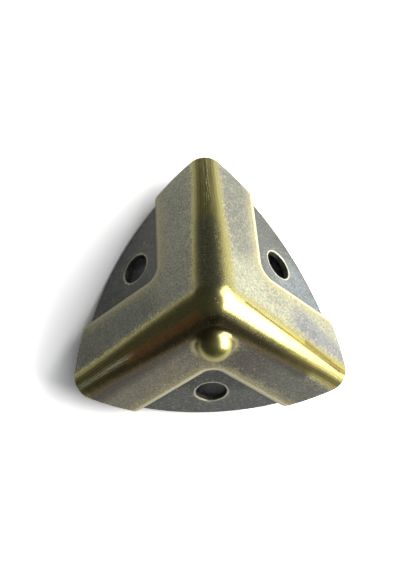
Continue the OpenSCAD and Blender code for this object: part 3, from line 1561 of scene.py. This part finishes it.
        # Painted shade: dark and bluish reflections stained over the ridges
        for smear, share in self.painted_dark_reflections.items():
            colour = sheet.stain(share, colour, smear.tint)
        # Painted dark reflection lines beside the right-hand ridge's highlight
        colour = self.stained(colour, finish.painted_dark_lines, finish.painted_dark_line_fading)
        colour = sheet.blend(self.graded(self.wear, finish.blushing), colour, finish.blush)
        grains = self.graded(self.noises[Noise.SPARK], finish.spark_grains)
        sparks = sheet.times(grains, self.graded(beside, finish.sparking))
        colour = sheet.blend(sparks, colour, finish.worn)
        worn = sheet.blend(self.marks[Mark.SUNK], finish.worn, finish.rim)
        colour = sheet.blend(self.pale, colour, worn)
        # Painted shade with dirt, broken up by blotches, darkens roots, hollows and the inner skin
        blotches = self.graded(self.noises[Noise.BLOTCH], finish.shade_and_dirt_breakup)
        shade_and_dirt = sheet.times(self.marks[Mark.SHADE_AND_GRIME], blotches, finish.shade_and_dirt)
        return sheet.blend(shade_and_dirt, colour, finish.shade_and_dirt_tone)

    def roughness(self) -> Socket:
        """Works out the roughness, between the dark finish's and the bright metal's.

        Returns:
            The roughness.
        """
        sheet, finish = self.sheet, self.finish
        dark = self.broken(finish.dark_roughness, finish.dark_breaks)
        bright = self.broken(finish.bright_roughness, finish.bright_breaks)
        dulled = self.near(finish.dulled)
        bright = sheet.math("MULTIPLY_ADD", dulled, finish.dulled_roughness, bright)
        bright = sheet.math("MULTIPLY_ADD", self.matt, finish.matt_roughness, bright)
        smooth = sheet.times(self.shine, sheet.rest(self.pale))
        rough = sheet.math("MULTIPLY_ADD", smooth, sheet.math("SUBTRACT", bright, dark), dark)
        return sheet.math("MULTIPLY_ADD", self.crest, finish.crest_roughness, rough, clamp=True)

    def metallic(self) -> Socket:
        """Works out how much like metal each place looks, which is less where it is chalky.

        Returns:
            The share.
        """
        sheet, finish = self.sheet, self.finish
        edge = sheet.times(self.edge, finish.edge_chalk)
        matt = sheet.times(self.matt, finish.matt_chalk)
        crest = sheet.times(self.crest, finish.crest_chalk)
        return sheet.rest(sheet.largest(edge, matt, crest))

    def coat(self) -> Socket:
        """Returns the coat's weight, thinner on bright metal off the bluish painted reflection."""
        clear = self.sheet.rest(self.painted_dark_reflections[self.finish.bluish_painted_reflection])
        return self.graded(self.sheet.times(self.shine, clear), self.finish.coating)

    def relief(self) -> Socket:
        """Adds the sheet's faint waves and the grain of its dark finish.

        Returns:
            The bumped normal.
        """
        sheet, finish = self.sheet, self.finish
        waves = {
            "Strength": finish.wave_strength,
            "Distance": finish.wave_height * MM,
            "Height": sheet.noise(self.place, finish.waves),
        }
        grain = {
            "Strength": self.graded(self.shine, finish.grain_strength),
            "Distance": finish.grain_height * MM,
            "Height": self.noises[Noise.GRAIN],
            "Normal": sheet.node("ShaderNodeBump", waves).outputs[0],
        }
        return sheet.node("ShaderNodeBump", grain).outputs[0]


@dataclass(frozen=True)
class StudioFloor:
    """Plain white floor that shows white where no shadow lies. Lengths are millimetres."""

    half_width: float = 900.0
    gap: float = 0.02
    tint: Colour = (0.985, 0.99, 1.0)
    # Colour under the lamps, in shares of the tint: as it lights the bracket, and as it is seen
    lit: float = 0.5
    shown: float = 2.0
    # Light added for the camera, and for reflections, which fades out over a reach
    lift: float = 0.75
    mirrored_lift: float = 0.29
    mirrored_reach: float = 200.0
    # How openness is measured, the power by which it paints the soft shadow, and where the floor
    # is painted dark under the bracket
    open_reach: float = 60.0
    rays: int = 16
    painted_shadow_power: float = 5.0
    dark_paint_full_below: float = 0.02
    dark_paint_none_above: float = 0.25

    def build(self, lowest: float) -> bpy.types.Object:
        """Lays the floor under the bracket.

        Args:
            lowest: Height of the bracket's lowest point, in metres.

        Returns:
            The floor, marked as stage.
        """
        w = self.half_width * MM
        z = lowest - self.gap * MM
        corners = np.array([[-w, -w, z], [w, -w, z], [w, w, z], [-w, w, z]])
        mesh = bpy.data.meshes.new("floor")
        fill_mesh(mesh, corners, [np.array([[0, 1, 2, 3]])])
        mesh.materials.append(self.material())
        floor = placed("floor", mesh)
        floor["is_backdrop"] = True
        return floor

    def material(self) -> bpy.types.Material:
        """Builds a matt white that the camera and reflections see brought up to white.

        What is added is the lift times a power of how open the floor is there to the light from
        all round, which paints the bracket's soft shadow over the lamps' own; the matt white is
        scaled down where the floor is almost closed in, which paints the dark under the bracket.

        Returns:
            The material.
        """
        sheet = NodeSheet(bpy.data.materials.new("floor_white"))
        ray = sheet.node("ShaderNodeLightPath", {}).outputs
        mirrored = sheet.largest(ray["Is Glossy Ray"], ray["Is Transmission Ray"])
        away = sheet.vector("LENGTH", sheet.object_place())
        faded = sheet.spread(away, self.mirrored_reach * MM, 0.0, 0.0, self.mirrored_lift)
        mirrored = sheet.times(mirrored, faded)
        seen = sheet.math("MULTIPLY_ADD", ray["Is Camera Ray"], self.lift, mirrored)
        reach = {"Distance": self.open_reach * MM}
        around = sheet.node("ShaderNodeAmbientOcclusion", reach, samples=self.rays).outputs["AO"]
        # Painted shadow: the lift fades where the bracket closes the floor in
        painted_shadow_share = sheet.math("POWER", around, self.painted_shadow_power)
        added = {"Color": self.tint, "Strength": sheet.times(painted_shadow_share, seen)}
        glow = sheet.node("ShaderNodeEmission", added)
        level = sheet.math("MULTIPLY_ADD", ray["Is Camera Ray"], self.shown - self.lit, self.lit)
        # Painted dark under the bracket, where the floor is almost closed in
        painted_dark_under = sheet.spread(around, self.dark_paint_full_below, self.dark_paint_none_above)
        scaled = {0: self.tint, "Scale": sheet.times(level, painted_dark_under)}
        white = sheet.node("ShaderNodeVectorMath", scaled, operation="SCALE")
        matt = sheet.node("ShaderNodeBsdfDiffuse", {"Color": white.outputs[0]})
        both = {0: matt.outputs[0], 1: glow.outputs[0]}
        return sheet.finished(sheet.node("ShaderNodeAddShader", both))


@dataclass(frozen=True)
class SoftLamp:
    """A plain rectangular lamp that looks at the bracket.

    Attributes:
        name: Name of the lamp.
        bearing: Where it stands, in degrees from +X towards +Y.
        height: How far up it stands, in degrees over the floor.
        distance: How far from the frame's origin it stands, in millimetres.
        width: Its side along the floor, in millimetres.
        rise: Its other side, in millimetres.
        radiance: How bright it looks.
        colour: Its colour.
        watts_per_radiance: Watts for each square metre of a lamp of radiance 1.
    """

    name: str
    bearing: float
    height: float
    distance: float
    width: float
    rise: float
    radiance: float
    colour: Colour = (1.0, 0.985, 0.96)
    watts_per_radiance: float = 4.0

    def build(self) -> bpy.types.Object:
        """Makes the lamp.

        Returns:
            The lamp, which lights and is mirrored but isn't seen by the camera itself.
        """
        bearing, height = math.radians(self.bearing), math.radians(self.height)
        level = math.cos(height)
        toward = Vector((level * math.cos(bearing), level * math.sin(bearing), math.sin(height)))
        data = bpy.data.lights.new(self.name, "AREA")
        data.shape = "RECTANGLE"
        data.size = self.width * MM
        data.size_y = self.rise * MM
        data.energy = self.radiance * self.watts_per_radiance * data.size * data.size_y
        data.color = self.colour
        lamp = placed(self.name, data)
        lamp.location = toward * self.distance * MM
        lamp.rotation_euler = toward.to_track_quat("Z", "Y").to_euler()
        lamp.visible_camera = False
        return lamp


@dataclass(frozen=True)
class Studio:
    """Lamps, surrounding light and camera. Lengths are millimetres, but for the picture's."""

    lamps: tuple[SoftLamp, ...] = (
        SoftLamp("window", -1.5, 26.0, distance=200.0, width=196.0, rise=162.0, radiance=6.5),
        SoftLamp("curtain", 40.0, 26.0, distance=205.0, width=100.0, rise=162.0, radiance=3.0),
    )
    room: Colour = (0.92, 0.97, 1.0)
    room_strength: float = 0.045
    backdrop: Colour = (1.0, 1.0, 1.0)
    # Camera's place, a place it looks at, its turn about that line in degrees, and its lens
    camera_at: Place = (-8.738, -8.852, 130.912)
    camera_aim: Place = (-1.802, 3.081, -8.0)
    camera_roll: float = -1.811
    focal_px: float = 892.1
    picture_height_px: float = 570.0
    sensor: float = 36.0
    nearest: float = 10.0

    def build(self) -> None:
        """Sets up the lamps, the world and the camera."""
        for lamp in self.lamps:
            lamp.build()
        self.build_world()
        self.build_camera()

    def build_world(self) -> None:
        """Gives the room a plain dim light, which the camera itself sees as white."""
        sheet = NodeSheet(bpy.data.worlds.new("room"))
        room = {"Color": self.room, "Strength": self.room_strength}
        dim = sheet.node("ShaderNodeBackground", room).outputs[0]
        white = sheet.node("ShaderNodeBackground", {"Color": self.backdrop}).outputs[0]
        seen = sheet.node("ShaderNodeLightPath", {}).outputs["Is Camera Ray"]
        either = sheet.node("ShaderNodeMixShader", {0: seen, 1: dim, 2: white})
        bpy.context.scene.world = sheet.finished(either, "ShaderNodeOutputWorld")

    def build_camera(self) -> None:
        """Puts the camera where the photograph was taken from."""
        data = bpy.data.cameras.new("camera")
        data.sensor_width = self.sensor
        data.lens = self.focal_px / self.picture_height_px * self.sensor
        data.clip_start = self.nearest * MM
        place = Vector(self.camera_at)
        away = (place - Vector(self.camera_aim)).normalized()
        across = Vector((0.0, 1.0, 0.0)).cross(away).normalized()
        level = Matrix((across, away.cross(across), away)).transposed().to_4x4()
        roll = Matrix.Rotation(math.radians(self.camera_roll), 4, "Z")
        camera = placed("camera", data)
        camera.matrix_world = Matrix.Translation(place * MM) @ level @ roll
        bpy.context.scene.camera = camera


def build_bracket(sizes: PressingSizes) -> bpy.types.Object:
    """Builds and dresses the bracket in place of its plain solid.

    Args:
        sizes: Sizes of the pressing.

    Returns:
        The bracket.
    """
    welded = WeldedMesh()
    for patch in CornerPressing(sizes).patches():
        welded.add(patch)
    bracket = welded.build("pressed_corner", sizes)
    bracket.data.materials.append(AntiqueBrass().material())
    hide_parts("corner_bracket")
    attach(bracket, "root")
    faces = len(bracket.data.polygons)
    log.info("pressed_corner: %d faces, %d open edges", faces, open_edges(bracket.data))
    return bracket


def main() -> None:
    """Builds the bracket, the floor and the studio in order."""
    logging.basicConfig(level=logging.INFO, format="%(name)s: %(message)s")
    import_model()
    solid_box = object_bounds()
    build_bracket(PressingSizes())
    StudioFloor().build(float(solid_box[0][2]))
    log.info("floor: at %.4f m", solid_box[0][2])
    Studio().build()
    scene = bpy.context.scene
    scene.view_settings.view_transform = "Standard"
    log.info("boxes written")


if __name__ == "__main__":
    main()
